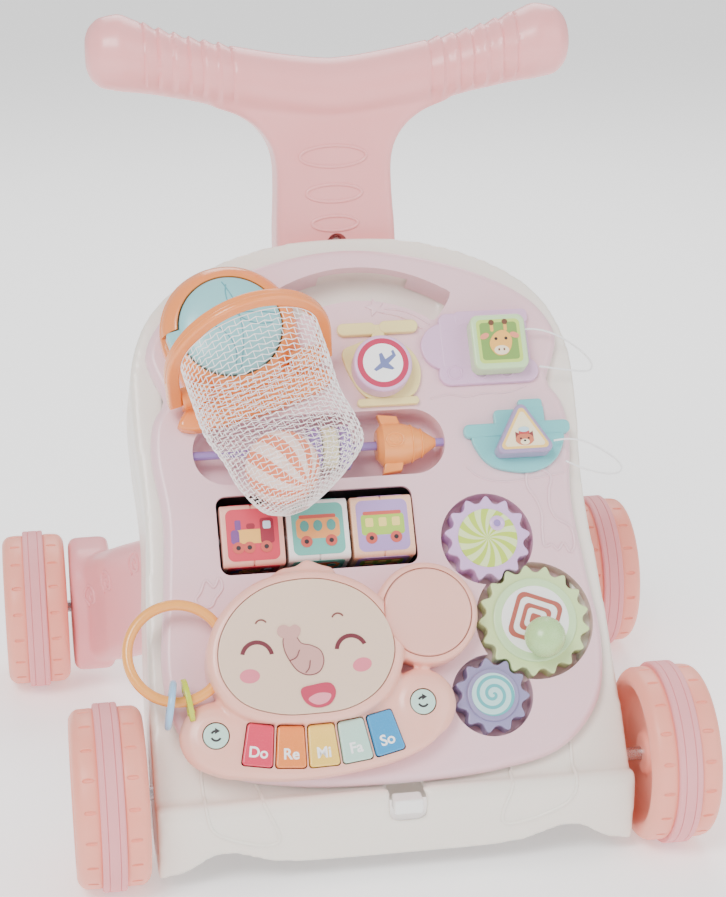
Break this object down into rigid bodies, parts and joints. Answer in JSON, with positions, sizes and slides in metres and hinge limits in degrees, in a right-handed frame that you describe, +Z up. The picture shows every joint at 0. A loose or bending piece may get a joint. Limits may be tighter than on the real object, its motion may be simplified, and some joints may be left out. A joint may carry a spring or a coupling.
{
  "type": "baby walker",
  "caption": "Four-wheeled push walker with a T-shaped push handle, a leaning activity panel with hoop, gears, turning blocks, puzzle pieces and a lift-off keyboard toy.",
  "frame": {"origin": "on the floor under the middle of the walker", "axes": "+Z up, -Y towards the front with the activity panel, +Y towards the child, +X to the right seen from the front"},
  "size_m": [0.444, 0.3956, 0.471],
  "materials": {
    "cream_plastic": "satin moulded",
    "panel_pink": "satin moulded",
    "handle_pink": "satin moulded",
    "wheel_salmon": "satin moulded",
    "tread_pink": "soft matte band",
    "steel": "plain rod",
    "orange_plastic": "glossy",
    "teal_plastic": "glossy",
    "net_white": "knitted mesh",
    "cord_white": "thin cord",
    "white_plastic": "satin",
    "purple_plastic": "glossy",
    "lilac_plastic": "glossy",
    "green_plastic": "glossy",
    "blue_grey_plastic": "glossy",
    "boat_teal": "glossy",
    "yellow_plastic": "glossy",
    "peach_plastic": "satin",
    "face_print": "printed clear plate",
    "red_plastic": "glossy",
    "key_orange": "glossy",
    "key_yellow": "glossy",
    "key_mint": "glossy",
    "key_blue": "glossy",
    "dark_grey": "matte",
    "leaf_green": "glossy",
    "sky_blue": "glossy",
    "board_green": "board lacquer"
  },
  "bodies": {
    "frame": {"front_shell": "cream_plastic", "back_shell": "cream_plastic", "front_panel": "panel_pink", "handle_front": "handle_pink", "handle_back": "handle_pink", "rear_leg_left": "handle_pink", "rear_leg_right": "handle_pink", "front_axle": "steel", "rear_axle_left": "steel", "rear_axle_right": "steel", "slider_rod": "purple_plastic", "block_tray": "dark_grey", "block_rod": "steel", "hoop_base": "orange_plastic", "helicopter_plate": "yellow_plastic", "submarine_plate": "lilac_plastic", "boat_plate": "boat_teal", "square_tether": "cord_white", "triangle_tether": "cord_white"},
    "wheel_front_left": {"wheel_front_left": "wheel_salmon", "tread_front_left": "tread_pink"},
    "wheel_front_right": {"wheel_front_right": "wheel_salmon", "tread_front_right": "tread_pink"},
    "wheel_rear_left": {"wheel_rear_left": "wheel_salmon", "tread_rear_left": "tread_pink"},
    "wheel_rear_right": {"wheel_rear_right": "wheel_salmon", "tread_rear_right": "tread_pink"},
    "hoop": {"hoop_ring": "orange_plastic", "net": "net_white"},
    "ball": {"ball": "orange_plastic"},
    "target_disc": {"target_disc": "teal_plastic"},
    "rocket": {"rocket": "orange_plastic"},
    "bead": {"bead_purple": "purple_plastic"},
    "bead_roller": {"bead_cream": "cream_plastic"},
    "block_red": {"block_red": "red_plastic"},
    "block_white": {"block_white": "white_plastic"},
    "block_peach": {"block_peach": "peach_plastic"},
    "gear_green": {"gear_green": "green_plastic"},
    "gear_lilac": {"gear_lilac": "lilac_plastic"},
    "gear_blue": {"gear_blue": "blue_grey_plastic"},
    "round_block": {"round_block": "lilac_plastic"},
    "square_block": {"square_block": "green_plastic"},
    "triangle_block": {"triangle_block": "purple_plastic"},
    "keyboard_unit": {"piano_front": "peach_plastic", "piano_back": "peach_plastic", "face_plate": "face_print", "circuit_board": "board_green", "speaker": "dark_grey"},
    "key_do": {"key_do": "red_plastic"},
    "key_re": {"key_re": "key_orange"},
    "key_mi": {"key_mi": "key_yellow"},
    "key_fa": {"key_fa": "key_mint"},
    "key_so": {"key_so": "key_blue"},
    "button_left": {"button_left": "key_mint"},
    "button_right": {"button_right": "key_mint"},
    "ear_pad": {"ear_pad": "peach_plastic"},
    "teether_ring": {"teether_ring": "orange_plastic"},
    "charm_ring": {"charm_ring": "sky_blue"},
    "charm_leaf": {"charm_leaf": "leaf_green"},
    "latch": {"latch_button": "white_plastic"}
  },
  "joints": [
    {"name": "wheel_front_left_spin", "type": "hinge", "parent": "frame", "child": "wheel_front_left", "pos_m": [-0.1655, -0.14375, 0.054], "axis": [1, 0, 0], "continuous": true},
    {"name": "wheel_front_right_spin", "type": "hinge", "parent": "frame", "child": "wheel_front_right", "pos_m": [0.1655, -0.14375, 0.054], "axis": [1, 0, 0], "continuous": true},
    {"name": "wheel_rear_left_spin", "type": "hinge", "parent": "frame", "child": "wheel_rear_left", "pos_m": [-0.2005, 0.14375, 0.054], "axis": [1, 0, 0], "continuous": true},
    {"name": "wheel_rear_right_spin", "type": "hinge", "parent": "frame", "child": "wheel_rear_right", "pos_m": [0.2005, 0.14375, 0.054], "axis": [1, 0, 0], "continuous": true},
    {"name": "hoop_fold", "type": "hinge", "parent": "frame", "child": "hoop", "pos_m": [-0.0669, -0.03735, 0.26952], "axis": [0.9613, 0.1581, 0.2258], "range_deg": [-35, 0]},
    {"name": "ball_lift", "type": "slide", "parent": "hoop", "child": "ball", "axis": [-0.1957, 0.4683, 0.8616], "range_m": [0, 0.035]},
    {"name": "target_press", "type": "slide", "parent": "frame", "child": "target_disc", "axis": [0, 0.8192, -0.5736], "range_m": [0, 0.002], "stiffness_N_per_m": 600, "springref_m": -0.001},
    {"name": "rocket_slide", "type": "slide", "parent": "frame", "child": "rocket", "axis": [1, 0, 0], "range_m": [-0.014, 0]},
    {"name": "bead_slide", "type": "slide", "parent": "frame", "child": "bead", "axis": [1, 0, 0], "range_m": [-0.055, 0.01]},
    {"name": "roller_spin", "type": "hinge", "parent": "bead", "child": "bead_roller", "pos_m": [-0.021, -0.04411, 0.22326], "axis": [1, 0, 0], "continuous": true},
    {"name": "block_red_turn", "type": "hinge", "parent": "frame", "child": "block_red", "pos_m": [-0.0724, -0.0671, 0.17648], "axis": [1, 0, 0], "continuous": true},
    {"name": "block_white_turn", "type": "hinge", "parent": "frame", "child": "block_white", "pos_m": [-0.0335, -0.0671, 0.17648], "axis": [1, 0, 0], "continuous": true},
    {"name": "block_peach_turn", "type": "hinge", "parent": "frame", "child": "block_peach", "pos_m": [0.0054, -0.0671, 0.17648], "axis": [1, 0, 0], "continuous": true},
    {"name": "gear_green_turn", "type": "hinge", "parent": "frame", "child": "gear_green", "pos_m": [0.091, -0.11089, 0.12963], "axis": [0, -0.8192, 0.5736], "continuous": true},
    {"name": "gear_lilac_turn", "type": "hinge", "parent": "frame", "child": "gear_lilac", "pos_m": [0.0683, -0.08137, 0.17179], "axis": [0, -0.8192, 0.5736], "continuous": true},
    {"name": "gear_blue_turn", "type": "hinge", "parent": "frame", "child": "gear_blue", "pos_m": [0.06051, -0.13541, 0.09462], "axis": [0, -0.8192, 0.5736], "continuous": true},
    {"name": "round_block_lift", "type": "slide", "parent": "frame", "child": "round_block", "axis": [0, -0.8192, 0.5736], "range_m": [0, 0.02]},
    {"name": "square_block_lift", "type": "slide", "parent": "frame", "child": "square_block", "axis": [0, -0.8192, 0.5736], "range_m": [0, 0.02]},
    {"name": "triangle_block_lift", "type": "slide", "parent": "frame", "child": "triangle_block", "axis": [0, -0.8192, 0.5736], "range_m": [0, 0.02]},
    {"name": "keyboard_lift", "type": "slide", "parent": "frame", "child": "keyboard_unit", "axis": [0, -0.8192, 0.5736], "range_m": [0, 0.06]},
    {"name": "key_do_press", "type": "slide", "parent": "keyboard_unit", "child": "key_do", "axis": [0, 0.8192, -0.5736], "range_m": [0, 0.001], "stiffness_N_per_m": 500, "springref_m": -0.001},
    {"name": "key_re_press", "type": "slide", "parent": "keyboard_unit", "child": "key_re", "axis": [0, 0.8192, -0.5736], "range_m": [0, 0.001], "stiffness_N_per_m": 500, "springref_m": -0.001},
    {"name": "key_mi_press", "type": "slide", "parent": "keyboard_unit", "child": "key_mi", "axis": [0, 0.8192, -0.5736], "range_m": [0, 0.001], "stiffness_N_per_m": 500, "springref_m": -0.001},
    {"name": "key_fa_press", "type": "slide", "parent": "keyboard_unit", "child": "key_fa", "axis": [0, 0.8192, -0.5736], "range_m": [0, 0.001], "stiffness_N_per_m": 500, "springref_m": -0.001},
    {"name": "key_so_press", "type": "slide", "parent": "keyboard_unit", "child": "key_so", "axis": [0, 0.8192, -0.5736], "range_m": [0, 0.001], "stiffness_N_per_m": 500, "springref_m": -0.001},
    {"name": "button_left_press", "type": "slide", "parent": "keyboard_unit", "child": "button_left", "axis": [0, 0.8192, -0.5736], "range_m": [0, 0.001], "stiffness_N_per_m": 500, "springref_m": -0.001},
    {"name": "button_right_press", "type": "slide", "parent": "keyboard_unit", "child": "button_right", "axis": [0, 0.8192, -0.5736], "range_m": [0, 0.001], "stiffness_N_per_m": 500, "springref_m": -0.001},
    {"name": "ear_pad_press", "type": "slide", "parent": "keyboard_unit", "child": "ear_pad", "axis": [0, 0.8192, -0.5736], "range_m": [0, 0.001], "stiffness_N_per_m": 600, "springref_m": -0.001},
    {"name": "teether_turn", "type": "hinge", "parent": "keyboard_unit", "child": "teether_ring", "pos_m": [-0.123, -0.1324, 0.13553], "axis": [0, -0.8192, 0.5736], "continuous": true},
    {"name": "charm_ring_slide", "type": "hinge", "parent": "keyboard_unit", "child": "charm_ring", "pos_m": [-0.123, -0.1324, 0.13553], "axis": [0, -0.8192, 0.5736], "range_deg": [-150, 0]},
    {"name": "charm_leaf_slide", "type": "hinge", "parent": "keyboard_unit", "child": "charm_leaf", "pos_m": [-0.123, -0.1324, 0.13553], "axis": [0, -0.8192, 0.5736], "range_deg": [-8, 0]},
    {"name": "latch_press", "type": "slide", "parent": "frame", "child": "latch", "axis": [0, 0, -1], "range_m": [0, 0.0025], "stiffness_N_per_m": 400, "springref_m": -0.001}
  ],
  "couplings": [
    {"joint": "gear_lilac_turn", "follows": "gear_green_turn", "ratio": -1.3077},
    {"joint": "gear_blue_turn", "follows": "gear_green_turn", "ratio": -1.5455}
  ]
}
